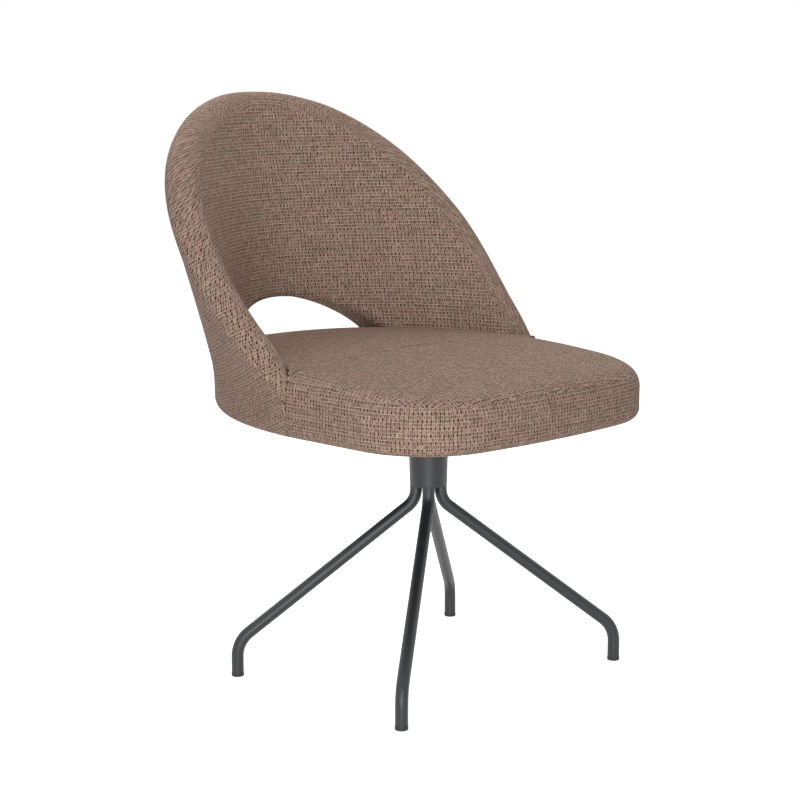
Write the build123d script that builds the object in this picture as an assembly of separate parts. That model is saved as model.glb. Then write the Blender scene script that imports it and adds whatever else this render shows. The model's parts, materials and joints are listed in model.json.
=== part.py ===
from build123d import *
import math
import os

# Swivel dining chair, in millimetres, +Z up.
# The sitter faces -Y, so the sitter's left hand is on the +X side.
# The chair is modelled about its swivel axis and moved at the end, so that
# the origin lies on the floor under the middle of the whole chair.

# four-legged base
footSpreadX = 456.0        # between foot centres, side to side
footSpreadY = 343.0        # between foot centres, front to back
legTubeDia = 18.0
legTubeWall = 2.0
legBundle = 26.0           # between neighbouring legs where they meet the column
legKneeLow = 52.0          # height of the corner above the foot
legKneeHigh = 258.0        # height of the corner below the column
kneeLowRadius = 45.0
kneeHighRadius = 32.0

glideFlange = 5.0          # height of the plastic glide under the tube
glideLip = 0.4             # how far the glide stands out past the tube
glideStem = 18.0
glideRounding = 1.2
plugClearance = 0.1

# column and swivel bearing
columnBottom = 281.0
columnTop = 370.0
columnDiaLow = 55.4
columnDiaHigh = 59.6
columnWall = 1.6
columnLip = 1.2            # rounding of the lower rim
sleeveClearance = 0.3      # round the plate inside the column
hubThick = 6.0
housingDia = 40.0
housingWall = 4.0
spindleDia = 25.0
spindleNeckDia = 12.0      # reduced end that passes through the hub plate
neckClearance = 0.5
bushLength = 22.0
bushFlange = 2.0
bushFlangeDia = 36.0
runningFit = 0.05          # radial, between spindle and bushes
shoulderGap = 1.0          # between the spindle's shoulder and the hub plate
retainerDia = 18.0
retainerThick = 2.0
retainerGap = 0.3
retainBoltHead = 10.0      # across flats
retainBoltHeadHigh = 4.0
retainBoltDia = 6.0
retainBoltGrip = 16.0      # thread inside the spindle
thrustDia = 42.0
thrustThick = 1.8
collarDia = 44.0
collarThick = 4.0

# plate, board and fasteners under the seat
plateSize = 190.0
plateThick = 5.2
plateCorner = 14.0
boltSpacing = 150.0
boltDia = 8.0
boltHeadDia = 15.0
boltHeadHigh = 4.0
boltHoleClearance = 0.3
boltTail = 1.5             # thread that shows above the tee nut
teeFlangeDia = 22.0
teeFlangeThick = 1.6
teeBarrelDia = 10.0
teeBarrelLength = 11.0
threadClearance = 0.05
boardThick = 15.0
boardMargin = 12.0         # between the wings and the board
dustMargin = 6.0           # between the wings and the cloth under the seat

# seat cushion
seatHalfWidth = 265.0
seatRear = 372.0           # from the swivel axis to the middle of the rear edge
seatFront = 261.0          # from the swivel axis to the middle of the front edge
frontRadius = 1270.0       # of the front edge's slight bow
cornerRadius = 132.0
seatBottom = 381.2
seatCrown = 484.0          # highest point of the cushion
crownY = 110.0             # where that point is
crownDropFront = 28.0      # from there to the front edge
crownDropSide = 7.0        # from there to either side edge
crownStations = 7          # cross-sections the domed top is drawn through
upperRounding = 30.0
lowerRounding = 20.0        # of the seat's lower edge and of the wings'
skin = 2.5                 # thickness of the upholstery fabric with its lining
seamHeight = 452.0         # seam between the band and the top panel
coverClearance = 0.3       # between the skins and what they cover

# back
wallThick = 56.0           # of the back, foam and fabric together
wingThick = 46.0           # of the wings where they meet the seat
thinFrom = 45              # angle where the back begins to thin towards the wings
flareStart = 441.0         # the wall stands upright below this height
flareSoft = 17.5           # how gradually it begins to lean there
flareSlope = 0.42          # outward lean of the sides, per unit of height
reclineSlope = 0.124       # backward lean of the middle
flareBlend = 4.9           # how fast the lean of the middle turns into the flare
sideSwell = 6.2            # how far the sides bow out between bottom and rim
swellStart = 400.0         # height where they begin to
swellRise = 430.0          # from there to where the bow would end
# Height of the rolled rim's centre at angles round the seat's rear ellipse,
# from the middle of the back to the front end of a wing.
rimAngles = [0, 15, 30, 45, 60, 75, 87]
rimHeights = [822.0, 815.2, 789.0, 732.0, 638.5, 519.1, 444.0]
archTop = 531.0            # upper edge of the opening between back and seat
archHalfWidth = 165.0
archSpring = 430.0         # height where the arch's sides turn upright
archRounding = 10.0
wingClearance = 0.6        # between the wings and the seat
notchMargin = 8.0          # how far the seat's notch runs out past the wing
cutReach = 30.0            # how far large cutting solids run past what they cut
lap = 1.0                  # how far small cuts run past, and fused shapes run in

# frame inside the back
hoopDia = 16.0
hoopWall = 1.5
hoopDepth = 12.0           # the hoop's centre below the centre of the rolled rim
hoopBend = 40.0
footAngle = 68.0           # where the hoop comes down, round the same ellipse
barWidth = 34.0
barThick = 4.0
barScrewDia = 6.0
barMargin = 3.0            # from the hoop to the bar's outer end
barLap = 42.0              # how far the bar reaches over the board
barScrewInset = 14.0       # from the bar's inner end to its screws
barScrewGap = 18.0         # between a bar's two screws
barScrewHeadDia = 11.0
barScrewHeadHigh = 3.2
barScrewLength = 17.0
hoopFoot = 40.0            # upright run above the bracket bar
hoopAngles = [12, 25, 38, 52, 64]
railDia = 10.0
railRise = 26.0            # from the opening's edge to the rail's centre
railAngles = [-68, -52, -36, -18, 0, 18, 36, 52, 68]
splitReach = 60.0          # how far the space that splits the skin reaches inwards
splitMargin = 2            # and how many degrees it runs past the wings

# derived
legRadius = legTubeDia / 2
foamBottom = seatBottom + skin
boardTop = foamBottom + boardThick
plateTop = seatBottom
plateBottom = plateTop - plateThick
collarBottom = plateBottom - collarThick
thrustBottom = collarBottom - thrustThick
housingTop = thrustBottom - bushFlange
hubBottom = columnBottom
hubTop = hubBottom + hubThick
dustInset = wallThick + dustMargin
boardInset = wallThick + boardMargin
barTop = boardTop + barThick


def columnRadius(z):
    """Outer radius of the tapered column at a height."""
    share = (z - columnBottom) / (columnTop - columnBottom)
    return (columnDiaLow + (columnDiaHigh - columnDiaLow) * share) / 2


def cylinder(radius, low, high, x=0.0, y=0.0):
    return Pos(x, y, (low + high) / 2) * Cylinder(radius, high - low)


def tube(radius, bore, low, high, x=0.0, y=0.0):
    return cylinder(radius, low, high, x, y) - cylinder(bore, low - lap, high + lap, x, y)


def corners(spacingX, spacingY):
    return [(sx * spacingX / 2, sy * spacingY / 2) for sx in (-1, 1) for sy in (-1, 1)]


# base pieces
def makeLeg(sx, sy):
    """A bent tube: upright foot, slanted run, upright end under the column."""
    foot = Vector(sx * footSpreadX / 2, sy * footSpreadY / 2)
    head = Vector(sx * legBundle / 2, sy * legBundle / 2)
    points = [
        Vector(foot.X, foot.Y, glideFlange),
        Vector(foot.X, foot.Y, legKneeLow),
        Vector(head.X, head.Y, legKneeHigh),
        Vector(head.X, head.Y, hubBottom),
    ]
    path = FilletPolyline(*points, radius=[kneeLowRadius, kneeHighRadius])
    ring = Circle(legRadius) - Circle(legRadius - legTubeWall)
    return sweep(Plane(points[0], z_dir=(0, 0, 1)) * ring, path=path)


def makeGlide(sx, sy):
    """A plastic plug with a low flange that stands on the floor."""
    x = sx * footSpreadX / 2
    y = sy * footSpreadY / 2
    flange = cylinder(legRadius + glideLip, 0, glideFlange, x, y)
    flange = fillet(flange.edges().group_by(Axis.Z)[0], glideRounding)
    stemRadius = legRadius - legTubeWall - plugClearance
    return flange + cylinder(stemRadius, glideFlange - lap, glideFlange + glideStem, x, y)


def makeColumn():
    """The tapered sleeve over the bearing, open at both ends."""
    height = columnTop - columnBottom
    middle = Pos(0, 0, (columnTop + columnBottom) / 2)
    outer = middle * Cone(columnRadius(columnBottom), columnRadius(columnTop), height)
    outer = fillet(outer.edges().group_by(Axis.Z)[0], columnLip)
    inner = middle * Cone(
        columnRadius(columnBottom) - columnWall, columnRadius(columnTop) - columnWall, height
    )
    return outer - inner


def plateRadius(z):
    return columnRadius(z) - columnWall - sleeveClearance


def makeHubPlate():
    """Plate welded on the legs' upper ends, with the hole for the spindle's neck."""
    plate = cylinder(plateRadius(hubBottom), hubBottom, hubTop)
    return plate - cylinder(spindleNeckDia / 2 + neckClearance, hubBottom - lap, hubTop + lap)


def makeHousing():
    return tube(housingDia / 2, housingDia / 2 - housingWall, hubTop, housingTop)


def makeBush(low, flangeLow=None):
    """A plain bush in the housing, with a flange where flangeLow is given."""
    bore = spindleDia / 2 + runningFit
    bush = tube(housingDia / 2 - housingWall, bore, low, low + bushLength)
    if flangeLow is not None:
        bush += tube(bushFlangeDia / 2, bore, flangeLow, flangeLow + bushFlange)
    return bush


def makeThrustWasher():
    return tube(thrustDia / 2, spindleDia / 2 + neckClearance, thrustBottom, collarBottom)


def makeSpindle():
    """Turned shaft with a collar under the seat plate and a tapped neck."""
    shoulder = hubTop + shoulderGap
    neckEnd = hubBottom - retainerGap
    shaft = cylinder(spindleDia / 2, shoulder, collarBottom + lap)
    shaft += cylinder(spindleNeckDia / 2, neckEnd, shoulder + lap)
    shaft += cylinder(collarDia / 2, collarBottom, plateBottom)
    boltHole = retainBoltDia / 2 + threadClearance
    return shaft - cylinder(boltHole, neckEnd - lap, neckEnd + retainBoltGrip + lap)


def makeRetainer():
    """Washer that keeps the spindle from lifting out of the base."""
    top = hubBottom - retainerGap
    return tube(retainerDia / 2, retainBoltDia / 2 + threadClearance, top - retainerThick, top)


def makeRetainingBolt():
    top = hubBottom - retainerGap - retainerThick
    head = Pos(0, 0, top - retainBoltHeadHigh) * extrude(
        RegularPolygon(retainBoltHead / 2, 6, major_radius=False), retainBoltHeadHigh
    )
    return head + cylinder(retainBoltDia / 2, top - lap, top + retainerThick + retainBoltGrip)


# pieces under the seat
def makePlate():
    """Square steel plate that is welded to the spindle and bolted to the board."""
    outline = RectangleRounded(plateSize, plateSize, plateCorner)
    plate = Pos(0, 0, plateBottom) * extrude(outline, plateThick)
    for x, y in corners(boltSpacing, boltSpacing):
        hole = boltDia / 2 + boltHoleClearance
        plate -= cylinder(hole, plateBottom - lap, plateTop + lap, x, y)
    return plate


def makePlateBolts():
    bolts = []
    for x, y in corners(boltSpacing, boltSpacing):
        head = cylinder(boltHeadDia / 2, plateBottom - boltHeadHigh, plateBottom, x, y)
        head = fillet(head.edges().group_by(Axis.Z)[0], boltHeadHigh / 2)
        tip = boardTop + teeFlangeThick + boltTail
        shank = cylinder(boltDia / 2, plateBottom - lap, tip, x, y)
        bolts.append(head + shank)
    return bolts


def makeTeeNuts():
    nuts = []
    for x, y in corners(boltSpacing, boltSpacing):
        bore = boltDia / 2 + threadClearance
        nut = tube(teeFlangeDia / 2, bore, boardTop, boardTop + teeFlangeThick, x, y)
        nuts.append(nut + tube(teeBarrelDia / 2, bore, boardTop - teeBarrelLength, boardTop, x, y))
    return nuts


# seat outline and solids
def seatOutline(inset):
    """Plan of the cushion: rear half ellipse, straight sides, round front corners."""
    half = seatHalfWidth - inset
    rear = seatRear - inset
    bow = frontRadius - inset
    radius = cornerRadius - inset
    across = half - radius
    between = bow - radius
    cornerY = bow - (seatFront - inset) - math.sqrt(between * between - across * across)
    share = bow / between
    meetX = across * share
    meetY = bow - (seatFront - inset) + (cornerY - bow + seatFront - inset) * share
    turn = (math.pi - math.asin(across / between)) / 2
    outX = radius * math.sin(turn)
    outY = -radius * abs(math.cos(turn))
    edges = [
        EllipticalCenterArc((0, 0), half, rear, start_angle=0, arc_size=180),
        ThreePointArc((-meetX, meetY), (0, -(seatFront - inset)), (meetX, meetY)),
    ]
    for side in (-1, 1):
        edges.append(Line((side * half, 0), (side * half, cornerY)))
        edges.append(
            ThreePointArc(
                (side * half, cornerY),
                (side * (across + outX), cornerY + outY),
                (side * meetX, meetY),
            )
        )
    return make_face(edges)


def crownHeight(x, y, drop):
    """Height of the cushion's domed top, less a uniform drop for inner layers."""
    frontSpan = crownY + seatFront
    along = crownDropFront * ((y - crownY) / frontSpan) ** 2
    across = crownDropSide * (x / seatHalfWidth) ** 2
    return seatCrown - drop - along - across


def crownSolid(drop):
    """Everything below the domed top: a loft through upright cross-sections."""
    reach = seatHalfWidth + cutReach
    low = seatBottom - cutReach
    start = -seatFront - cutReach
    step = (seatRear + cutReach - start) / (crownStations - 1)
    sections = []
    for index in range(crownStations):
        y = start + index * step
        edgeZ = crownHeight(reach, y, drop)
        middle = (0, y, crownHeight(0, y, drop))
        top = ThreePointArc((-reach, y, edgeZ), middle, (reach, y, edgeZ))
        rest = Polyline(
            (reach, y, edgeZ), (reach, y, low), (-reach, y, low), (-reach, y, edgeZ)
        )
        sections.append(make_face([top, rest]))
    return loft(sections)


def cushionSolid(inset):
    """The whole cushion inside its skin (inset = skin) or with it (inset = 0)."""
    low = seatBottom + inset
    block = Pos(0, 0, low) * extrude(seatOutline(inset), seatCrown - low + cutReach)
    block = block & crownSolid(inset)
    topEdges = block.edges().filter_by(lambda e: e.bounding_box().min.Z > seatBottom + cutReach)
    block = fillet(topEdges, upperRounding - inset)
    lowEdges = block.edges().filter_by(lambda e: e.bounding_box().max.Z < low + lap)
    return fillet(lowEdges, lowerRounding - inset)


# back
def blend(points, values, at):
    """Smooth value between given points: a cubic Hermite with averaged slopes."""
    slopes = []
    for k in range(len(points)):
        a = max(k - 1, 0)
        b = min(k + 1, len(points) - 1)
        slopes.append((values[b] - values[a]) / (points[b] - points[a]))
    slopes[0] = 0.0
    k = 0
    while k < len(points) - 2 and at > points[k + 1]:
        k += 1
    span = points[k + 1] - points[k]
    u = (at - points[k]) / span
    start = (1 + 2 * u) * (1 - u) ** 2 * values[k] + u * (1 - u) ** 2 * span * slopes[k]
    end = u * u * (3 - 2 * u) * values[k + 1] + u * u * (u - 1) * span * slopes[k + 1]
    return start + end


def rimHeight(angle):
    return blend(rimAngles, rimHeights, abs(angle))


def wallNormal(angle):
    """Unit vector out of the rear ellipse, in plan."""
    a = math.radians(angle)
    n = Vector(math.sin(a) / seatHalfWidth, math.cos(a) / seatRear, 0)
    return n.normalized()


def wallFoot(angle):
    a = math.radians(angle)
    return Vector(seatHalfWidth * math.sin(a), seatRear * math.cos(a), 0)


def softRamp(rise):
    """Nearly nothing below zero and nearly the rise above it, with a soft bend."""
    return (rise + math.hypot(rise, flareSoft)) / 2


def leanOut(angle, z):
    """How far the wall's outer face stands out from the seat outline."""
    side = abs(wallNormal(angle).X) ** flareBlend
    slope = flareSlope * side + reclineSlope * (1 - side)
    share = min(max((z - swellStart) / swellRise, 0.0), 1.0)
    swell = sideSwell * side * math.sin(math.pi * share)
    return slope * (softRamp(z - flareStart) - softRamp(seatBottom - flareStart)) + swell


def wallThickness(angle):
    """Full thickness of the wall: it thins towards the wings' front ends."""
    share = min(max((abs(angle) - thinFrom) / (90 - thinFrom), 0.0), 1.0)
    return wallThick + (wingThick - wallThick) * share


def wallPoint(angle, z, depth):
    """A point of the wall at a height, and at a depth below its outer face."""
    return wallFoot(angle) + wallNormal(angle) * (leanOut(angle, z) - depth) + Vector(0, 0, z)


def uprightPlane(angle, inset=0.0):
    """Plane of a cross-section: local x points out of the chair, local y up."""
    normal = wallNormal(angle)
    origin = wallFoot(angle) - normal * inset
    return Plane(origin=origin, x_dir=normal, z_dir=normal.cross(Vector(0, 0, 1)))


def wallSection(angle, inset, outward=0.0):
    """Upright cross-section of the back: a leaning slab with a rolled rim."""
    half = wallThickness(angle) / 2 - inset
    rim = rimHeight(angle)
    middle = (seatBottom + rim) / 2
    bend = leanOut(angle, middle)
    along = ThreePointArc((0, seatBottom), (bend, middle), (leanOut(angle, rim), rim)) % 1
    across = Vector(along.Y, -along.X)
    endHeight = rim - half * along.X
    end = Vector(leanOut(angle, endHeight) + half * (1 / along.Y - 1), endHeight)
    centre = end - across * half
    top = centre + along * half
    inner = centre - across * half
    diagonal = math.sqrt(0.5) * half
    shift = Vector(outward, 0)
    foot = shift + Vector(0, seatBottom)
    edges = [
        Line((-2 * half, seatBottom), foot),
        ThreePointArc(foot, shift + Vector(bend, middle), shift + end),
        ThreePointArc(shift + end, shift + centre + (across + along) * diagonal, shift + top),
        ThreePointArc(top, centre + (along - across) * diagonal, inner),
        ThreePointArc(inner, (bend - 2 * half, middle), (-2 * half, seatBottom)),
    ]
    if outward:
        edges.append(Line(shift + top, top))
    return uprightPlane(angle, inset) * make_face(edges)


def wallAngles(endAngle):
    """Where the wall's sections stand, from one wing's end to the other's."""
    steps = [0.0, 0.14, 0.28, 0.42, 0.55, 0.67, 0.78, 0.89, 1.0]
    return [-endAngle * s for s in reversed(steps[1:])] + [endAngle * s for s in steps]


def wallLoft(inset, endAngle, outward=0.0):
    """The whole curved wall from wing to wing, lofted through its sections."""
    return loft([wallSection(angle, inset, outward) for angle in wallAngles(endAngle)])


def archCutter(grow):
    """Prism through the rear wall: an upright-sided arch, grown on all sides."""
    half = archHalfWidth + grow
    rise = archTop - archSpring + grow
    arc = EllipticalCenterArc((0, archSpring), half, rise, start_angle=0, arc_size=180)
    low = seatBottom - cutReach
    sides = Polyline((-half, archSpring), (-half, low), (half, low), (half, archSpring))
    return extrude(Plane.XZ * make_face([arc, sides]), -2 * seatRear)


def wallSolid(inset):
    """The back, or what lies inside its skin: the wall less the arched opening."""
    endAngle = rimAngles[-1] - math.degrees(inset / seatRear)
    low = seatBottom + inset
    wall = wallLoft(inset, endAngle)
    if inset > 0:
        reach = 4 * seatRear
        wall -= Pos(0, 0, low - reach / 2) * Box(reach, reach, reach)
    lowEdges = wall.edges().filter_by(lambda e: e.bounding_box().max.Z < low + lap)
    wall = fillet(lowEdges.sort_by(SortBy.LENGTH)[-1], lowerRounding - inset)
    wall -= archCutter(inset)
    top = archTop + inset
    rims = wall.edges().filter_by(
        lambda e: abs(e.bounding_box().max.Z - top) < 2 * lap
        and e.bounding_box().size.X > archHalfWidth
    )
    return fillet(rims, archRounding - inset)


def wingNotch(clearance):
    """What is cut from the seat so that the wings fit beside it."""
    endAngle = rimAngles[-1] + math.degrees(clearance / seatRear)
    return wallLoft(-clearance, endAngle, notchMargin) - archCutter(-clearance)


def innerSide():
    """Space on the sitter's side of the middle of the wall, to split its skin."""
    sections = []
    for angle in wallAngles(rimAngles[-1] + splitMargin):
        half = wallThickness(angle) / 2
        low = seatBottom - cutReach
        rim = rimHeight(angle)
        middle = (seatBottom + rim) / 2
        end = (leanOut(angle, rim) - half, rim)
        start = (-half, seatBottom)
        arc = ThreePointArc(start, (leanOut(angle, middle) - half, middle), end)
        top = arc @ 1 + (arc % 1) * wallThick
        away = top - Vector(splitReach, 0)
        rest = Polyline(arc @ 1, top, away, (-half - splitReach, low), (-half, low), start)
        sections.append(uprightPlane(angle) * make_face([arc, rest]))
    return loft(sections)


# frame inside the back
def depthPoint(angle, z):
    return wallPoint(angle, z, wallThickness(angle) / 2)


def hoopPath():
    """Up one wing, round under the rolled rim and down the other wing."""
    points = [depthPoint(0, rimHeight(0) - hoopDepth)]
    for angle in hoopAngles:
        z = rimHeight(angle) - hoopDepth
        points = [depthPoint(-angle, z)] + points + [depthPoint(angle, z)]
    for side in (-1, 1):
        foot = depthPoint(side * footAngle, barTop)
        ends = [foot, foot + Vector(0, 0, hoopFoot)]
        points = ends + points if side < 0 else points + ends[::-1]
    return FilletPolyline(*points, radius=hoopBend)


def railPath():
    """From side to side over the arched opening, at a set distance from its edge."""
    points = []
    for angle in railAngles:
        share = depthPoint(angle, archTop).X / (archHalfWidth + railRise)
        rise = (archTop - archSpring + railRise) * math.sqrt(max(1 - share * share, 0.0))
        points.append(depthPoint(angle, archSpring + rise))
    return FilletPolyline(*points, radius=hoopBend)


def pipe(path, radius):
    start = path @ 0
    return sweep(Plane(start, z_dir=path % 0) * Circle(radius), path=path)


def makeFrame(grow=0.0):
    """Bent steel hoop with a rail welded across it; grown, it cuts its channel."""
    frame = pipe(hoopPath(), hoopDia / 2 + grow) + pipe(railPath(), railDia / 2 + grow)
    if grow == 0:
        frame = frame - pipe(hoopPath(), hoopDia / 2 - hoopWall)
    return frame


def barPlane(side, z):
    """Plan frame of a bracket bar: local x points out through the wing."""
    angle = side * footAngle
    return Plane(origin=wallFoot(angle) + Vector(0, 0, z), x_dir=wallNormal(angle), z_dir=(0, 0, 1))


def makeBar(side, grow=0.0):
    """Flat bar from the hoop's end to the seat board; grown, it cuts its slot."""
    outer = -(wallThickness(footAngle) / 2 - hoopDia / 2 - barMargin)
    inner = -(boardInset + barLap)
    length = outer - inner
    plate = Box(length + 2 * grow, barWidth + 2 * grow, barThick + 2 * grow)
    bar = barPlane(side, boardTop + barThick / 2) * Pos((outer + inner) / 2, 0, 0) * plate
    if grow == 0:
        for p in barScrewPlaces():
            hole = barScrewDia / 2 + boltHoleClearance
            bar -= cylinder(hole, boardTop - lap, barTop + lap, p.X, p.Y)
    return bar


def barScrewPlaces():
    places = []
    for side in (-1, 1):
        for across in (-barScrewGap / 2, barScrewGap / 2):
            spot = barPlane(side, 0) * Pos(-(boardInset + barLap - barScrewInset), across, 0)
            places.append(spot.position)
    return places


def makeBarScrews(grow=0.0):
    """Pan-head screws, down through each bar into the board."""
    screws = []
    for p in barScrewPlaces():
        headTop = barTop + barScrewHeadHigh + grow
        head = cylinder(barScrewHeadDia / 2 + grow, barTop, headTop, p.X, p.Y)
        shank = cylinder(barScrewDia / 2, barTop - barScrewLength, barTop + lap, p.X, p.Y)
        screws.append(head + shank)
    return screws


# upholstery
def makeBoard():
    board = Pos(0, 0, foamBottom) * extrude(seatOutline(boardInset), boardThick)
    for x, y in corners(boltSpacing, boltSpacing):
        hole = teeBarrelDia / 2 + threadClearance
        board -= cylinder(hole, foamBottom - lap, boardTop + lap, x, y)
    for p in barScrewPlaces():
        hole = barScrewDia / 2 + threadClearance
        board -= cylinder(hole, barTop - barScrewLength, boardTop + lap, p.X, p.Y)
    return board


def makeDustCover():
    cloth = Pos(0, 0, seatBottom) * extrude(seatOutline(dustInset), skin)
    for x, y in corners(boltSpacing, boltSpacing):
        hole = boltDia / 2 + coverClearance
        cloth -= cylinder(hole, seatBottom - lap, foamBottom + lap, x, y)
    return cloth


def makeSeatFoam(bars):
    """Moulded foam over and round the board, with room for what stands on it."""
    foam = cushionSolid(skin + coverClearance) - wingNotch(wingClearance + skin + coverClearance)
    pit = extrude(seatOutline(boardInset - coverClearance), boardTop - seatBottom + lap)
    foam -= Pos(0, 0, seatBottom - lap) * pit
    pocket = teeFlangeThick + boltTail + coverClearance
    for x, y in corners(boltSpacing, boltSpacing):
        hole = teeFlangeDia / 2 + coverClearance
        foam -= cylinder(hole, boardTop - lap, boardTop + pocket, x, y)
    for piece in bars + makeBarScrews(coverClearance):
        foam -= piece
    return foam


def makeSeatCovers(bars):
    """Fabric round the cushion, split at the seam into band and top panel."""
    cover = cushionSolid(0) - wingNotch(wingClearance)
    cover -= cushionSolid(skin) - wingNotch(wingClearance + skin)
    window = extrude(seatOutline(dustInset - coverClearance), skin + 2 * lap)
    cover -= Pos(0, 0, seatBottom - lap) * window
    for bar in bars:
        cover -= bar
    reach = 4 * seatRear
    above = Pos(0, 0, seamHeight + reach / 2) * Box(reach, reach, reach)
    return cover & above, cover - above


def makeBackFoam(bars):
    foam = wallSolid(skin + coverClearance) - makeFrame(coverClearance)
    for bar in bars:
        foam -= bar
    return foam


def makeBackCovers(bars):
    """Fabric round the back, split along the rim into an inner and outer panel."""
    cover = wallSolid(0) - wallSolid(skin)
    for bar in bars:
        cover -= bar
    sitterSide = innerSide()
    return cover & sitterSide, cover - sitterSide


# all pieces
def buildAll():
    pieces = {}
    for sx, side in ((1, "left"), (-1, "right")):
        for sy, end in ((-1, "front"), (1, "rear")):
            pieces[f"leg_{end}_{side}"] = makeLeg(sx, sy)
            pieces[f"glide_{end}_{side}"] = makeGlide(sx, sy)
    pieces["column_sleeve"] = makeColumn()
    pieces["hub_plate"] = makeHubPlate()
    pieces["bearing_housing"] = makeHousing()
    pieces["lower_bush"] = makeBush(hubTop)
    pieces["upper_bush"] = makeBush(housingTop - bushLength, housingTop)
    pieces["thrust_washer"] = makeThrustWasher()
    pieces["spindle"] = makeSpindle()
    pieces["retaining_washer"] = makeRetainer()
    pieces["retaining_bolt"] = makeRetainingBolt()
    pieces["swivel_plate"] = makePlate()
    pieces["plate_bolts"] = makePlateBolts()
    pieces["tee_nuts"] = makeTeeNuts()
    pieces["seat_board"] = makeBoard()
    pieces["dust_cover"] = makeDustCover()
    pieces["back_frame"] = makeFrame()
    for sx, side in ((1, "left"), (-1, "right")):
        pieces[f"back_bracket_{side}"] = makeBar(sx)
    pieces["bracket_screws"] = makeBarScrews()
    slots = [makeBar(-1, coverClearance), makeBar(1, coverClearance)]
    pieces["seat_foam"] = makeSeatFoam(slots)
    pieces["seat_top_cover"], pieces["seat_band_cover"] = makeSeatCovers(slots)
    pieces["back_foam"] = makeBackFoam(slots)
    pieces["back_inner_cover"], pieces["back_outer_cover"] = makeBackCovers(slots)
    return pieces


pieces = buildAll()
shapes = {}
for name, piece in pieces.items():
    solids = piece if isinstance(piece, list) else piece.solids()
    shapes[name] = Compound([s for one in solids for s in one.solids()])
whole = Compound(list(shapes.values())).bounding_box()
shift = Location((-whole.center().X, -whole.center().Y, 0))
os.makedirs("parts", exist_ok=True)
for name, shape in shapes.items():
    export_step(shift * shape, f"parts/{name}.step")
print("swivel axis at y =", round(shift.position.Y, 3), "size", whole.size)
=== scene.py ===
import json
import math
import bmesh
import bpy
import numpy as np
from mathutils import Matrix, Vector


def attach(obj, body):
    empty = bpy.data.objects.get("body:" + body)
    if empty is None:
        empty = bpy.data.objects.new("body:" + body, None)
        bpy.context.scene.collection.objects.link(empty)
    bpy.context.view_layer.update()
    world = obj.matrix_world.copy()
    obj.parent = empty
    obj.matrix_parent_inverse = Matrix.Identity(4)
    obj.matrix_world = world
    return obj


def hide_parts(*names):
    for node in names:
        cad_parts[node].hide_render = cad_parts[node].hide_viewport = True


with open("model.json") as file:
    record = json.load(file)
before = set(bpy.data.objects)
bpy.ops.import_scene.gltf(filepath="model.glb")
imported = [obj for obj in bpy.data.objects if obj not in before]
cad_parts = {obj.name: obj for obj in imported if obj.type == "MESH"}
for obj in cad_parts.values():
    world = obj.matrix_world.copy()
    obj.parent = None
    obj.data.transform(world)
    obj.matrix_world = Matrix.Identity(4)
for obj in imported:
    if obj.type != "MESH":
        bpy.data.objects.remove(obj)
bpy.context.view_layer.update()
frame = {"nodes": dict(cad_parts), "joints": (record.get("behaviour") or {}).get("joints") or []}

mm = 0.001
axisY = frame["joints"][0]["pos_m"][1]   # the chair is drawn about its swivel axis

# Camera

cameraSettings = {
    "place": (-2.0968, -2.0365, 0.914),  # from the swivel axis, metres
    "forward": (0.69687, 0.69658, -0.17073),
    "lens": 90.9,                        # on a 36 mm sensor
}


def addCamera(settings):
    forward = Vector(settings["forward"]).normalized()
    right = Vector((forward.y, -forward.x, 0)).normalized()
    up = right.cross(forward)
    camera = bpy.data.objects.new("photoCamera", bpy.data.cameras.new("photoCamera"))
    camera.data.lens = settings["lens"]
    camera.data.sensor_width = 36.0
    turn = Matrix((right, up, -forward)).transposed().to_4x4()
    place = Vector(settings["place"]) + Vector((0, axisY, 0))
    camera.matrix_world = Matrix.Translation(place) @ turn
    bpy.context.scene.collection.objects.link(camera)
    bpy.context.scene.camera = camera


addCamera(cameraSettings)
print("camera placed")

# Materials


# sRGB hex to a linear colour: each channel through the sRGB curve.
def linear(hexCode):
    channels = [int(hexCode[i:i + 2], 16) / 255 for i in (1, 3, 5)]
    return [c / 12.92 if c <= 0.04045 else ((c + 0.055) / 1.055) ** 2.4 for c in channels] + [1]


def newMaterial(name):
    material = bpy.data.materials.new(name)
    material.use_nodes = True
    material.node_tree.nodes.clear()
    return material


# Adds a node, sets its properties, its input values and its incoming links.
def addNode(material, kind, settings=None, links=None, values=None):
    node = material.node_tree.nodes.new(kind)
    for key, value in (settings or {}).items():
        setattr(node, key, value)
    for key, value in (values or {}).items():
        node.inputs[key].default_value = value
    for key, source in (links or {}).items():
        material.node_tree.links.new(source, node.inputs[key])
    return node


# Math node from numbers and sockets, giving its output socket.
def mathNode(material, operation, *values):
    node = material.node_tree.nodes.new("ShaderNodeMath")
    node.operation = operation
    for i, value in enumerate(values):
        if isinstance(value, (int, float)):
            node.inputs[i].default_value = value
        else:
            material.node_tree.links.new(value, node.inputs[i])
    return node.outputs[0]


# Noise of a given feature size in metres, from 0 to 1.
def noise(material, vector, size, detail=2.0, roughness=0.5):
    values = {"Scale": 1 / size, "Detail": detail, "Roughness": roughness}
    return addNode(material, "ShaderNodeTexNoise", links={"Vector": vector},
                   values=values).outputs["Fac"]


# Mix of two colours, each a hex code or a socket.
def mixColour(material, share, low, high, blend="MIX"):
    node = addNode(material, "ShaderNodeMix", {"data_type": "RGBA", "blend_type": blend})
    for key, value in (("Factor", share), ("A", low), ("B", high)):
        if isinstance(value, str):
            node.inputs[key].default_value = linear(value)
        elif isinstance(value, (int, float)):
            node.inputs[key].default_value = value
        else:
            material.node_tree.links.new(value, node.inputs[key])
    return node.outputs["Result"]


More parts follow.
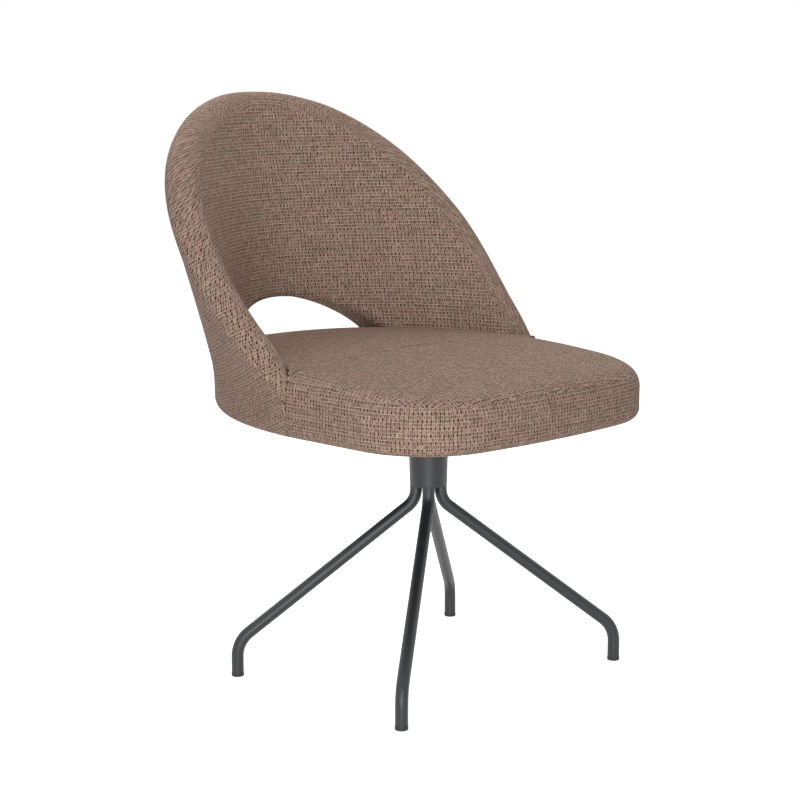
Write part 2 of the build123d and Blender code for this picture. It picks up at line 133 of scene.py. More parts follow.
# Principled surface with a colour socket, a bump (strength, metres) and set values.
def finish(material, colour, height, bump, settings):
    bumped = addNode(material, "ShaderNodeBump", links={"Height": height},
                     values={"Strength": bump[0], "Distance": bump[1]})
    shader = addNode(material, "ShaderNodeBsdfPrincipled",
                     links={"Base Color": colour, "Normal": bumped.outputs["Normal"]},
                     values=settings)
    addNode(material, "ShaderNodeOutputMaterial", links={"Surface": shader.outputs["BSDF"]})
    return material


# Plain finishes: colour, a second shade that drifts through it, roughness, metallic and
# the size and depth in metres of the grain
finishes = {
    "graphitePowderCoat": ("#26282b", "#212326", 0.45, 0.0, 0.9 * mm, 0.02 * mm),
    "zincPlatedSteel": ("#b4b6b8", "#a2a4a8", 0.32, 1.0, 0.5 * mm, 0.01 * mm),
    "blackFramePaint": ("#1c1c1e", "#232326", 0.5, 0.0, 1.2 * mm, 0.02 * mm),
    "blackGlidePlastic": ("#1a1a1b", "#202022", 0.55, 0.0, 0.4 * mm, 0.02 * mm),
    "naturalAcetal": ("#d9d6cc", "#cfccc0", 0.35, 0.0, 0.6 * mm, 0.01 * mm),
    "blackDustCloth": ("#161617", "#202021", 0.95, 0.0, 0.7 * mm, 0.08 * mm),
}


def plainMaterial(name):
    colour, shade, rough, metallic, grain, depth = finishes[name]
    material = newMaterial(name)
    place = addNode(material, "ShaderNodeTexCoord").outputs["Object"]
    drift = noise(material, place, 40 * mm, 4.0)
    surface = mixColour(material, drift, shade, colour)
    return finish(material, surface, noise(material, place, grain), (1.0, depth),
                  {"Roughness": rough, "Metallic": metallic, "IOR": 1.5})


plywood = {"face": "#c8a06c", "grain": "#a97f4c", "ring": 9 * mm}


# Birch plywood: pale, with long soft rings drawn out along the board.
def plywoodMaterial(look):
    material = newMaterial("birchPlywood")
    place = addNode(material, "ShaderNodeTexCoord").outputs["Object"]
    drawn = addNode(material, "ShaderNodeMapping", links={"Vector": place},
                    values={"Scale": (1.0, 0.12, 1.0)}).outputs["Vector"]
    rings = addNode(material, "ShaderNodeTexWave", {"wave_type": "BANDS", "bands_direction": "X"},
                    {"Vector": drawn}, {"Scale": 0.3 / look["ring"], "Distortion": 9.0,
                                        "Detail": 2.0, "Detail Scale": 1.5}).outputs["Fac"]
    colour = mixColour(material, rings, look["face"], look["grain"])
    return finish(material, colour, rings, (0.2, 0.05 * mm), {"Roughness": 0.7, "IOR": 1.5})


# Tweed of slubby wool and acrylic: matt, with painted shade in dark pits where the light sinks
# between the yarns. Threads stand in pairs every 6.1 mm, with a weft every 5 mm
weave = {
    "pairPitch": 6.1 * mm, "rowPitch": 5.0 * mm,
    # the dark pit colour is painted shade, the colour that the gaps between the yarns and the
    # shadow lines darken to
    "pit": "#3d2a23", "yarn": "#8a7063", "weft": "#c9b1a1",
    "warm": "#a4796e", "olive": "#897f63",
    "wander": 0.6 * mm,        # how far the yarns stray from a perfect grid
    "rowShift": 0.3,           # how far whole rows do, as a share of a pair
    "depth": 0.5 * mm,
    "pairGap": 0.15, "threadGap": 0.08,   # half widths of the gaps, as shares of a pair
    "weftShare": 0.09,                    # half of the weft's width, as a share of a row
    "fuzz": 2.4, "fuzzSize": 1.5 * mm,    # light and dark of the fibres, and their grain
    "lump": 0.5, "lumpSize": 5.5 * mm,
    "tint": 0.4, "tintSize": 16 * mm,     # share of warm and olive, and size of their patches
}


# Plain weave seen as rows of paired warp threads with a thin weft between the rows.
# A gap is a pulse in the distance to the nearest pair line, cut off at the weft, deep in
# every second row, and each gap in each row has its own random strength. The gaps sink the
# bump and are painted dark in the colour as shade.
def weaveMaterial(name, look):
    material = newMaterial(name)

    def m(operation, *values):
        return mathNode(material, operation, *values)

    def step(value, low, high):
        return addNode(material, "ShaderNodeMapRange", {"interpolation_type": "SMOOTHSTEP"},
                       {"Value": value}, {"From Min": low, "From Max": high}).outputs[0]

    def pulse(value, width):
        # 1 at whole numbers, falling to 0 at the half width from them
        away = m("SUBTRACT", 0.5, m("ABSOLUTE", m("SUBTRACT", m("FRACT", value), 0.5)))
        return m("SUBTRACT", 1.0, step(away, width * 0.5, width * 1.5))

    def chance(x, y, shift):
        cell = addNode(material, "ShaderNodeCombineXYZ", links={"X": x, "Y": y},
                       values={"Z": shift})
        return addNode(material, "ShaderNodeTexWhiteNoise", {"noise_dimensions": "3D"},
                       {"Vector": cell.outputs[0]}).outputs["Value"]

    def centred(value, amount):
        return m("MULTIPLY", m("SUBTRACT", value, 0.5), amount)

    place = addNode(material, "ShaderNodeUVMap", {"uv_map": "cloth"}).outputs["UV"]
    stray = []
    for shift in (0.0, 7.3):
        moved = addNode(material, "ShaderNodeVectorMath", {"operation": "ADD"}, {0: place},
                        {1: (shift, shift, 0)}).outputs[0]
        broad = centred(noise(material, moved, 30 * mm), look["wander"] * 2)
        fine = centred(noise(material, moved, 5 * mm), look["wander"] * 4)
        stray.append(m("ADD", broad, fine))
    parts = addNode(material, "ShaderNodeSeparateXYZ", links={"Vector": place})
    v = m("DIVIDE", m("ADD", parts.outputs["Y"], stray[1]), look["rowPitch"])
    row = m("FLOOR", v)
    odd = m("FLOORED_MODULO", row, 2.0)
    u = m("DIVIDE", m("ADD", parts.outputs["X"], stray[0]), look["pairPitch"])
    u = m("ADD", u, centred(chance(row, row, 2.2), look["rowShift"]))
    weft = pulse(v, look["weftShare"])
    pairLine = m("ROUND", u)
    threadLine = m("FLOOR", u)
    between = m("MULTIPLY", pulse(u, look["pairGap"]),
                m("SUBTRACT", m("ADD", 0.75, m("MULTIPLY", chance(pairLine, row, 0.3), 0.6)),
                  m("MULTIPLY", odd, 0.4)))
    inside = m("MULTIPLY", pulse(m("ADD", u, 0.5), look["threadGap"]),
               m("ADD", m("MULTIPLY", chance(threadLine, row, 5.3), 0.9), m("MULTIPLY", odd, 0.3)))
    gap = m("MULTIPLY", m("MAXIMUM", between, inside), m("SUBTRACT", 1.0, weft))

    # along each weft: bright slubs and, beside them, short shadow lines
    weftLine = m("ROUND", v)
    drawn = addNode(material, "ShaderNodeCombineXYZ",
                    links={"X": m("MULTIPLY", u, 0.12), "Y": m("MULTIPLY", weftLine, 3.37)})
    slub = noise(material, drawn.outputs[0], 1.0, 1.0)
    shadowLine = m("MULTIPLY", pulse(m("ADD", v, 0.24), 0.07), step(slub, 0.52, 0.62))
    gap = m("MAXIMUM", gap, m("MULTIPLY", shadowLine, 0.8))

    fuzz = noise(material, place, look["fuzzSize"], 3.0, 0.8)
    lump = noise(material, place, look["lumpSize"], 2.0, 0.8)
    thread = centred(chance(m("ROUND", m("MULTIPLY", u, 2.0)), row, 9.1), 0.5)
    rough = m("ADD", centred(fuzz, look["fuzz"]), centred(lump, look["lump"]))
    dark = m("ADD", gap, m("SUBTRACT", rough, m("MULTIPLY", thread, 0.25)))
    bright = m("MULTIPLY", weft, m("SUBTRACT", m("MULTIPLY", slub, 1.4), 0.5))
    light = m("ADD", m("ADD", 0.28, bright), m("SUBTRACT", m("MULTIPLY", thread, 0.6), rough))
    drift = noise(material, place, look["tintSize"], 3.0)
    patch = step(m("ADD", drift, m("MULTIPLY", thread, 0.3)), 0.35, 0.65)
    tint = mixColour(material, patch, look["olive"], look["warm"])
    colour = mixColour(material, look["tint"], look["yarn"], tint)
    colour = mixColour(material, step(light, 0.0, 1.0), colour, look["weft"])
    # painted shade: the gaps between the yarns and the shadow lines beside the slubs darken the
    # colour towards the pit colour, together with random fibre tone
    colour = mixColour(material, step(dark, 0.1, 0.95), colour, look["pit"])
    height = m("SUBTRACT", m("ADD", m("MULTIPLY", weft, 0.3), m("MULTIPLY", fuzz, 0.4)), gap)
    return finish(material, colour, height, (0.6, look["depth"]),
                  {"Roughness": 0.92, "IOR": 1.45, "Specular IOR Level": 0.2,
                   "Sheen Weight": 0.08, "Sheen Roughness": 0.5,
                   "Sheen Tint": linear(look["weft"])})


def dress(nodeNames, material):
    for name in nodeNames:
        data = frame["nodes"][name].data
        data.materials.clear()
        data.materials.append(material)


dress(["leg_front_left", "leg_front_right", "leg_rear_left", "leg_rear_right",
       "column_sleeve", "hub_plate", "swivel_plate"], plainMaterial("graphitePowderCoat"))
dress(["bearing_housing", "spindle", "retaining_washer", "retaining_bolt", "plate_bolts",
       "tee_nuts", "bracket_screws"], plainMaterial("zincPlatedSteel"))
dress(["back_frame", "back_bracket_left", "back_bracket_right"], plainMaterial("blackFramePaint"))
dress(["glide_front_left", "glide_front_right", "glide_rear_left", "glide_rear_right"],
      plainMaterial("blackGlidePlastic"))
dress(["lower_bush", "upper_bush", "thrust_washer"], plainMaterial("naturalAcetal"))
dress(["dust_cover"], plainMaterial("blackDustCloth"))
dress(["seat_board"], plywoodMaterial(plywood))
cloth = weaveMaterial("taupeBoucleWeave", weave)
print("materials made")

# Form of the upholstery, in millimetres about the swivel axis

cushionForm = {
    "halfWidth": 265.0, "rear": 372.0, "front": 261.0,
    "frontRadius": 1270.0, "cornerRadius": 132.0,
    "bottom": 381.2, "crown": 484.0, "crownY": 110.0, "dropFront": 28.0, "dropSide": 7.0,
    "upperRounding": 30.0, "lowerRounding": 20.0,
    "tuckRounding": 10.0,      # where the top turns down beside the wings
    "edgeRounding": 0.5,
    "gap": 0.3,                # between the seat and the wings
}
backForm = {
    "thick": 56.0, "wingThick": 46.0, "thinFrom": 45.0,
    "leanFrom": 441.0, "leanSoft": 17.5, "flare": 0.42, "recline": 0.124, "flareBlend": 4.9,
    "swell": 6.2, "swellFrom": 400.0, "swellRise": 430.0,
    "rimAngles": [0, 15, 30, 45, 60, 75, 87],
    "rimHeights": [822.0, 815.2, 789.0, 732.0, 638.5, 519.1, 444.0],
    "archTop": 531.0, "archHalfWidth": 165.0, "archSpring": 430.0, "archRounding": 10.0,
    "tipFrom": 79.0, "tipShare": 0.25,   # near the seat the wings run out thin
    "tipLow": 395.0, "tipHigh": 440.0,   # but only above these heights
}
wingEnd = backForm["rimAngles"][-1]


# Plan normal of the rear half ellipse: (sin/halfWidth, cos/rear), made unit length.
def wallNormal(angle):
    a = np.radians(angle)
    x = np.sin(a) / cushionForm["halfWidth"]
    y = np.cos(a) / cushionForm["rear"]
    return x / np.hypot(x, y), y / np.hypot(x, y)


# Plan point at an angle round the ellipse and a distance outside it.
def wallPlace(angle, out):
    a = np.radians(angle)
    nx, ny = wallNormal(angle)
    x = cushionForm["halfWidth"] * np.sin(a) + nx * out
    return x, cushionForm["rear"] * np.cos(a) + ny * out


def softRamp(rise):
    return (rise + np.hypot(rise, backForm["leanSoft"])) / 2


# Outward lean: a slope times a softened ramp, and a sine bow on the sides.
def leanOut(angle, z):
    side = np.abs(wallNormal(angle)[0]) ** backForm["flareBlend"]
    slope = backForm["flare"] * side + backForm["recline"] * (1 - side)
    share = np.clip((z - backForm["swellFrom"]) / backForm["swellRise"], 0, 1)
    start = softRamp(cushionForm["bottom"] - backForm["leanFrom"])
    ramp = softRamp(z - backForm["leanFrom"]) - start
    return slope * ramp + backForm["swell"] * side * np.sin(np.pi * share)


def leanSlope(angle, z):
    return (leanOut(angle, z + 0.5) - leanOut(angle, z - 0.5))


# Cubic Hermite through the rim's heights, with averaged slopes.
def rimHeight(angle):
    at = np.abs(angle)
    x = np.array(backForm["rimAngles"], float)
    y = np.array(backForm["rimHeights"])
    low = np.maximum(np.arange(len(x)) - 1, 0)
    high = np.minimum(np.arange(len(x)) + 1, len(x) - 1)
    slopes = (y[high] - y[low]) / (x[high] - x[low])
    slopes[0] = 0
    k = np.clip(np.searchsorted(x, at, side="right") - 1, 0, len(x) - 2)
    span = x[k + 1] - x[k]
    u = (at - x[k]) / span
    start = (1 + 2 * u) * (1 - u) ** 2 * y[k] + u * (1 - u) ** 2 * span * slopes[k]
    return start + u * u * (3 - 2 * u) * y[k + 1] + u * u * (u - 1) * span * slopes[k + 1]


def halfThick(angle):
    thin = np.clip((np.abs(angle) - backForm["thinFrom"]) / (90 - backForm["thinFrom"]), 0, 1)
    return (backForm["thick"] + (backForm["wingThick"] - backForm["thick"]) * thin) / 2


# Share of the thickness left: 1, less a square of the way to the wing's end.
def tipShare(angle, height):
    tip = np.clip((np.abs(angle) - backForm["tipFrom"]) / (wingEnd - backForm["tipFrom"]), 0, 1)
    up = np.clip((height - backForm["tipLow"]) / (backForm["tipHigh"] - backForm["tipLow"]), 0, 1)
    return 1 - (1 - backForm["tipShare"]) * tip ** 2 * up * up * (3 - 2 * up)


def innerAcross(angle, height):
    return halfThick(angle) * (1 - 2 * tipShare(angle, height))


# A point of the wall, placed from its middle line at a height.
#
# Across is square to that line, from -half on the sitter's side to half, and rise along it:
# out = lean - half + across cos + rise sin, z = height - across sin + rise cos.
def wallPoint(angle, height, across, rise=0.0):
    tilt = np.arctan(leanSlope(angle, height))
    out = leanOut(angle, height) - halfThick(angle) + across * np.cos(tilt) + rise * np.sin(tilt)
    x, y = wallPlace(angle, out)
    z = height - across * np.sin(tilt) + rise * np.cos(tilt)
    return np.stack(np.broadcast_arrays(x, y, z), -1), out


# How far out the wall's inner face stands at a height, level above the rim.
def innerFace(angle, z):
    z = np.minimum(z, rimHeight(angle))
    height = z
    for _ in range(6):
        tilt = np.arctan(leanSlope(angle, height))
        height = z + innerAcross(angle, height) * np.sin(tilt)
    return leanOut(angle, height) - halfThick(angle) + innerAcross(angle, height) * np.cos(tilt)


# Domed top: the crown less a square drop to the front and to the sides.
def crownHeight(x, y):
    along = (y - cushionForm["crownY"]) / (cushionForm["crownY"] + cushionForm["front"])
    drop = cushionForm["dropFront"] * along ** 2
    drop = drop + cushionForm["dropSide"] * (x / cushionForm["halfWidth"]) ** 2
    return cushionForm["crown"] - drop


def smoothMax(a, b, soft):
    return (a + b + np.hypot(a - b, soft)) / 2


# Length along a face of the wall at one height, from the middle of the back: the sum of
# short chords over a table of angles and heights, read between its entries. Side is 1 for
# the outer face and -1 for the inner one.
def faceLength(angle, height, side):
    angles = np.arange(0.0, 91.0)
    heights = np.arange(380.0, 841.0, 10.0)
    grid, tall = np.meshgrid(angles, heights)
    x, y = wallPlace(grid, leanOut(grid, tall) + (side - 1) * halfThick(grid))
    steps = np.hypot(np.diff(x, axis=1), np.diff(y, axis=1))
    table = np.concatenate([np.zeros((len(heights), 1)), np.cumsum(steps, 1)], 1)
    a = np.clip(np.abs(angle), 0, 89.99)
    h = np.clip((height - heights[0]) / 10, 0, len(heights) - 1.01)
    a0, h0 = a.astype(int), h.astype(int)
    a1, h1 = a - a0, h - h0
    low = table[h0, a0] * (1 - a1) + table[h0, a0 + 1] * a1
    high = table[h0 + 1, a0] * (1 - a1) + table[h0 + 1, a0 + 1] * a1
    return low * (1 - h1) + high * h1


# Quads of a rows by columns grid of points, wrapped round along the rows if closed.
def gridFaces(rows, columns, closed):
    r = np.arange(rows if closed else rows - 1)[:, None]
    c = np.arange(columns - 1)[None, :]
    a = r * columns + c
    b = (r + 1) % rows * columns + c
    return np.stack([a, b, b + 1, a + 1], -1).reshape(-1, 4)


# Mesh from points in millimetres, quads, a UV pair for each corner and, for each point, how
# firmly the filling is held there, from 0 to 1.
def newPiece(name, points, faces, uvs, held):
    mesh = bpy.data.meshes.new(name)
    places = points * mm + np.array([0, axisY, 0])
    mesh.from_pydata(places.tolist(), [], faces.tolist())
    layer = mesh.uv_layers.new(name="cloth")
    layer.data.foreach_set("uv", (uvs * mm).astype(np.float32).ravel())
    mesh.attributes.new("held", "FLOAT", "POINT").data.foreach_set("value", held.astype(np.float32))
    work = bmesh.new()
    work.from_mesh(mesh)
    bmesh.ops.remove_doubles(work, verts=work.verts, dist=0.02 * mm)
    bmesh.ops.recalc_face_normals(work, faces=work.faces)
    work.to_mesh(mesh)
    work.free()
    mesh.polygons.foreach_set("use_smooth", [True] * len(mesh.polygons))
    piece = bpy.data.objects.new(name, mesh)
    bpy.context.scene.collection.objects.link(piece)
    return piece


# Smooth step from 0 to 1 over a length.
def fade(distance, length):
    share = np.clip(distance / length, 0, 1)
    return share * share * (3 - 2 * share)


filling = {
    "pressure": 4.0, "ticks": 20,
    "weight": 60.0,            # of the cloth, kg for each square metre: it swells slowly
    "smaller": 2 * mm,         # how far inside its form the cushion starts
    "cap": 4.5 * mm,           # how far a point may move from there
    "smoothings": 150,         # of the moves, each by half towards the neighbours' mean
}


# Swells a cushion as cloth under pressure, its seams held, and writes the places back.
def fillCushion(piece, look):
    mesh = piece.data
    count = len(mesh.vertices)
    start, normals, held = np.empty(count * 3), np.empty(count * 3), np.empty(count)
    mesh.vertices.foreach_get("co", start)
    mesh.vertices.foreach_get("normal", normals)
    mesh.attributes["held"].data.foreach_get("value", held)
    free = np.repeat(1 - held, 3)
    start -= normals * look["smaller"] * free
    mesh.vertices.foreach_set("co", start)
    group = piece.vertex_groups.new(name="held")
    levels = np.round(held * 10).astype(int)
    for level in range(11):
        group.add(np.flatnonzero(levels == level).tolist(), level / 10, "REPLACE")
    areas = np.empty(len(mesh.polygons))
    mesh.polygons.foreach_get("area", areas)
    modifier = piece.modifiers.new("filling", "CLOTH")
    settings = modifier.settings
    settings.use_pressure = True
    settings.uniform_pressure_force = look["pressure"]
    settings.effector_weights.gravity = 0
    settings.vertex_group_mass = "held"
    settings.mass = look["weight"] * areas.sum() / count
    modifier.collision_settings.use_collision = False
    modifier.point_cache.frame_start = 1
    modifier.point_cache.frame_end = look["ticks"]
    for tick in range(1, look["ticks"] + 1):
        bpy.context.scene.frame_set(tick)
    swollen = piece.evaluated_get(bpy.context.evaluated_depsgraph_get()).data
    places = np.empty(count * 3)
    swollen.vertices.foreach_get("co", places)
    piece.modifiers.remove(modifier)
    piece.vertex_groups.clear()
    bpy.context.scene.frame_set(1)
    move = (places - start).reshape(-1, 3)
    length = np.linalg.norm(move, axis=1, keepdims=True) + 1e-9
    move = move * np.minimum(1, look["cap"] / length)
    pairs = np.empty(len(mesh.edges) * 2, int)
    mesh.edges.foreach_get("vertices", pairs)
    degree = np.bincount(pairs, minlength=count)[:, None]
    for _ in range(look["smoothings"]):
        total = np.zeros_like(move)
        np.add.at(total, pairs[0::2], move[pairs[1::2]])
        np.add.at(total, pairs[1::2], move[pairs[0::2]])
        move = (move + total / degree) / 2
    mesh.vertices.foreach_set("co", start + move.ravel() * free)
    mesh.update()
    print("filled", piece.name, "mean move mm", np.mean(length) * 1000)


# One even subdivision, the same in view and render.
def soften(piece):
    modifier = piece.modifiers.new("soft", "SUBSURF")
    modifier.levels = modifier.render_levels = 1


# Seat cushion

seatPiece = {
    "underRows": 9, "bottomRows": 6, "lowerRows": 8, "sideRows": 10, "upperRows": 11,
    "topRows": 10, "middleRows": 22,
    "startDepth": 40.0,        # first guess for the depths, which are found by iteration
    "normalDepth": 100.0,      # rows follow the outline to this depth, then run to the middle
    "middleY": (30.0, 0.25),   # where they meet there: a constant, and a share of their own y
    "tongueDepth": 58.0,       # to which the tongue's sides stand upright beside the wings
    "dustInset": 61.7, "boardInset": 67.6, "boardTop": 399.6, "clothTop": 384.0,
    "bandShare": 0.5,          # how far up the rounding the band's cloth reaches
    "tuckFrom": 0.8, "tuckLoss": 0.9,     # along a wing the tuck fades out towards its end
    "hiddenRounding": 3.0,     # of the lower edge beside the wings
    # the filling is free at these distances from the edge, the wings and the underside
    "creaseReach": 30.0, "wingReach": 25.0, "belowReach": 20.0,
}


# Where the tongue under the arch ends at a depth: its sides stand at one x.
def tongueAngle(depth):
    edge = backForm["archHalfWidth"] - cushionForm["gap"]
    low = np.zeros_like(depth)
    high = np.full_like(depth, 88.0)
    for _ in range(40):
        middle = (low + high) / 2
        inside = wallPlace(middle, -np.minimum(depth, seatPiece["tongueDepth"]))[0] < edge
        low = np.where(inside, middle, low)
        high = np.where(inside, high, middle)
    return low


# Stations on one half of the rear: (kind, share or angle, notched, inset).
def rearStations():
    f = cushionForm
    end = wingEnd + math.degrees(f["gap"] / f["rear"])
    edge = f["edgeRounding"]
    step = math.degrees(edge / f["rear"])
    half = [("tongue", k, False, 0.0) for k in np.linspace(0, 0.985, 22)]
    half += [("tongue", 0.995, False, 0.3 * edge), ("tongue", 1.0, False, edge)]
    half += [("wing", k, True, 0.0) for k in np.linspace(0, 0.7, 26)]
    half += [("wing", k, True, 0.0) for k in np.linspace(0.71, 1.0, 24)]
    half += [("angle", end, False, edge), ("angle", end + 0.3 * step, False, 0.3 * edge)]
    half += [("angle", a, False, 0.0) for a in np.linspace(end + step, 90, 4)]
    return half


# Plan points and normals from the side's rear end to the middle of the front.
def frontStations():
    f = cushionForm
    across = f["halfWidth"] - f["cornerRadius"]
    between = f["frontRadius"] - f["cornerRadius"]
    cornerY = f["frontRadius"] - f["front"] - math.sqrt(between ** 2 - across ** 2)
    turn = math.pi - math.asin(across / between)
    points = [(f["halfWidth"], y, 1.0, 0.0) for y in np.linspace(0, cornerY, 22)[1:-1]]
    for t in np.linspace(math.pi / 2, turn, 34):
        nx, ny, r = math.sin(t), math.cos(t), f["cornerRadius"]
        points.append((across + r * nx, cornerY + r * ny, nx, ny))
    for t in np.linspace(turn, math.pi, 20)[1:]:
        nx, ny, r = math.sin(t), math.cos(t), f["frontRadius"]
        points.append((r * nx, r - f["front"] + r * ny, nx, ny))
    return points


# Plan points and wall angles, depth being an array of stations by rows.
def seatPlan(depth, rear, front):
    end = wingEnd + math.degrees(cushionForm["gap"] / cushionForm["rear"])
    shallow = np.minimum(depth, seatPiece["normalDepth"])
    count = len(rear)
    tongue = tongueAngle(shallow[:count])
    angles = np.zeros_like(shallow[:count])
    for row, (kind, k, _, _) in enumerate(rear):
        if kind == "tongue":
            angles[row] = k * tongue[row]
        elif kind == "wing":
            angles[row] = tongue[row] + (end - tongue[row]) * k
        else:
            angles[row] = k
    rearX, rearY = wallPlace(angles, -shallow[:count])
    fixed = np.array(front)
    x = np.concatenate([rearX, fixed[:, 0:1] - fixed[:, 2:3] * shallow[count:]])
    y = np.concatenate([rearY, fixed[:, 1:2] - fixed[:, 3:4] * shallow[count:]])
    share = np.maximum(depth - seatPiece["normalDepth"], 0.0)
    middleY = seatPiece["middleY"][0] + seatPiece["middleY"][1] * y
    x = x * (1 - share)
    y = y + (middleY - y) * share
    return x, y, np.concatenate([angles, np.full_like(shallow[count:], 90.0)])


# Rows from the middle of the underside to the middle of the top: (part, share).
def seatRows():
    s = seatPiece
    rows = [("underMiddle", t) for t in np.linspace(1, 0, s["underRows"])]
    rows += [("boardTop", 0), ("boardLow", 0), ("clothTop", 0)]
    rows += [("bottom", t) for t in np.linspace(0, 1, s["bottomRows"])]
    rows += [("lower", t) for t in np.linspace(0, 1, s["lowerRows"])[1:]]
    rows += [("side", t) for t in np.linspace(0, 1, s["sideRows"])[1:]]
    rows += [("upper", t) for t in np.linspace(0, 1, s["upperRows"])[1:]]
    rows += [("top", t) for t in np.linspace(0, 1, s["topRows"])[1:]]
    rows += [("middle", t) for t in np.linspace(0, 1, s["middleRows"])[1:]]
    return rows


# Half the seat as stations by rows of points: the outline's rows turned by its profile.
#
# The profile is a quarter circle below, an upright side, a quarter circle above and the
# crown; beside a wing it starts at the wing's inner face, with a small tuck on top.
def seatSurface():
    f, s = cushionForm, seatPiece
    rear, front = rearStations(), frontStations()
    rows = seatRows()
    notched = np.array([r[2] for r in rear] + [False] * len(front))[:, None]
    inset = np.array([r[3] for r in rear] + [0.0] * len(front))[:, None]
    share = np.array([r[1] if r[0] == "wing" else 0.0 for r in rear] + [0.0] * len(front))[:, None]
    late = np.clip((share - s["tuckFrom"]) / (1 - s["tuckFrom"]), 0, 1)
    tuck = f["tuckRounding"] * (1 - s["tuckLoss"] * late ** 2)
    upper = np.where(notched, tuck, f["upperRounding"]) - inset
    lower = np.where(notched, s["hiddenRounding"], f["lowerRounding"]) - inset
    kind = np.array([k for k, _ in rows])[None, :]
    at = np.array([t for _, t in rows])[None, :]
    turn = at * math.pi / 2
    low = f["bottom"] + inset
    sideLow = low + lower
    depth = np.full((len(rear) + len(front), len(rows)), s["startDepth"])
    flat = 0 * depth
    z = flat + f["crown"]
    for _ in range(6):
        x, y, angles = seatPlan(depth, rear, front)
        crown = crownHeight(x, y) - inset
        edge = np.where(notched, f["gap"] - innerFace(angles, z), 0.0) + inset
        crownEdge = crownHeight(*seatPlan(edge + flat, rear, front)[:2]) - inset
        places = {
            "underMiddle": (s["boardTop"], s["normalDepth"] + at),
            "boardTop": (s["boardTop"], s["boardInset"]),
            "boardLow": (s["clothTop"], s["boardInset"]),
            "clothTop": (s["clothTop"], s["dustInset"]),
            "bottom": (low, s["dustInset"] + (edge + lower - s["dustInset"]) * at),
            "lower": (low + lower * (1 - np.cos(turn)), edge + lower * (1 - np.sin(turn))),
            "side": (sideLow + (crownEdge - upper - sideLow) * at, edge),
            "upper": (crown - upper * (1 - np.sin(turn)), edge + upper * (1 - np.cos(turn))),
            "top": (crown, edge + upper + (s["normalDepth"] - edge - upper) * at),
            "middle": (crown, s["normalDepth"] + at),
        }
        chosen = [kind == name for name in places]
        z = np.select(chosen, [place[0] + flat for place in places.values()])
        depth = np.select(chosen, [place[1] + flat for place in places.values()])
    x, y, _ = seatPlan(depth, rear, front)
    # heights along the cloth, round the band's roundings by arc length
    height = np.select(
        [kind == "bottom", kind == "lower", kind == "upper"],
        [sideLow - lower * math.pi / 2 + edge + lower - depth,
         sideLow - lower * (math.pi / 2 - turn), crownEdge - upper + upper * turn], z)
    band = (i for i, (name, t) in enumerate(rows) if name == "upper" and t >= s["bandShare"])
    return np.stack([x, y, z], -1), height, next(band)


# How firmly the filling is held: beneath, beside the wings and along the edge.
def seatHeld(points, edgeRow):
    f, s = cushionForm, seatPiece
    x, y, z = np.abs(points[..., 0]), points[..., 1], points[..., 2]
    a = np.arctan2(x / f["halfWidth"], np.maximum(y, 0) / f["rear"])
    rim = np.hypot(f["halfWidth"] * np.sin(a), f["rear"] * np.cos(a))
    depth = rim - np.hypot(x, np.maximum(y, 0))
    wing = np.stack([backForm["archHalfWidth"] - x, depth - 2 * halfThick(np.degrees(a)),
                     f["rear"] * math.cos(math.radians(wingEnd)) - y])
    fromWing = np.linalg.norm(np.maximum(wing, 0), axis=0)
    fromEdge = np.linalg.norm(points - points[:, edgeRow:edgeRow + 1], axis=-1)
    free = fade(fromWing - 2, s["wingReach"]) * fade(z - f["bottom"] - 3, s["belowReach"])
    return 1 - free * fade(fromEdge, s["creaseReach"])


def makeSeat():
    points, height, bandRow = seatSurface()
    stations, rows = points.shape[:2]
    rearX, rearY, _ = seatPlan(np.zeros((stations, 1)), rearStations(), frontStations())
    outline = np.concatenate([rearX, rearY], 1)
    run = np.concatenate([[0], np.cumsum(np.hypot(*np.diff(outline, axis=0).T))])
    # both halves: from the middle of the rear round one side to the middle of the front and back
    whole = np.concatenate([points, points[-2:0:-1] * np.array([-1, 1, 1])])
    across = np.concatenate([run, 2 * run[-1] - run[-2:0:-1]])
    tall = np.concatenate([height, height[-2:0:-1]])
    count = len(whole)
    faces = gridFaces(count, rows, True)
    band = np.stack([np.repeat(across[:, None], rows, 1), tall], -1).reshape(-1, 2)
    flat = whole[..., 1::-1].reshape(-1, 2)
    uvBand = band[faces]
    wrap = uvBand[..., 0].max(1) - uvBand[..., 0].min(1) > run[-1]
    uvBand[..., 0] += np.where(wrap[:, None] & (uvBand[..., 0] < run[-1]), 2 * run[-1], 0)
    top = faces[:, 0] % rows >= bandRow
    uvs = np.where(top[:, None, None], flat[faces], uvBand)
    held = seatHeld(whole, bandRow)
    return newPiece("seatUpholstery", whole.reshape(-1, 3), faces, uvs, held.ravel())


# Back

backPiece = {
    "tipStations": 6, "rimStations": 82, "roundRows": 5, "faceRows": 40, "acrossRows": 12,
    "endRounding": 0.5, "outerRounding": 20.0,
    "endDrop": 1.5,            # from the rim to the top of a wing's upright end
    "footHeight": 20.0,        # rows are close together up to this height
    "tipTurn": 0.02,           # turn round the arch that belongs to the wing's tip
    "tilt": 0.5, "levelAt": 350.0,   # outside, the rows rise to the front, level at the rear
    # across the roll they fall by these slopes at these distances from the wing's end
    "rollAt": (0, 260, 400, 540), "rollTilt": (0.35, 0.6, 0.3, 0.0),
    "rollGirth": 0.95,         # the cloth's length over the roll, against the roll's own
    "endSteep": 0.9, "steepFrom": 15, "steepTo": 35,   # where the rim counts as steep, degrees
    "rollHeld": 26.0, "rollFade": 40.0,   # the filling is held on the roll and fades in beside it
    "archFade": 18.0, "seatFade": 25.0,
    "raiseFrom": 78.0, "raiseOver": 3.0,  # degrees where the rim begins to meet the cushion's edge
    "raiseSoft": 2.5, "raiseFall": 4.0,
}


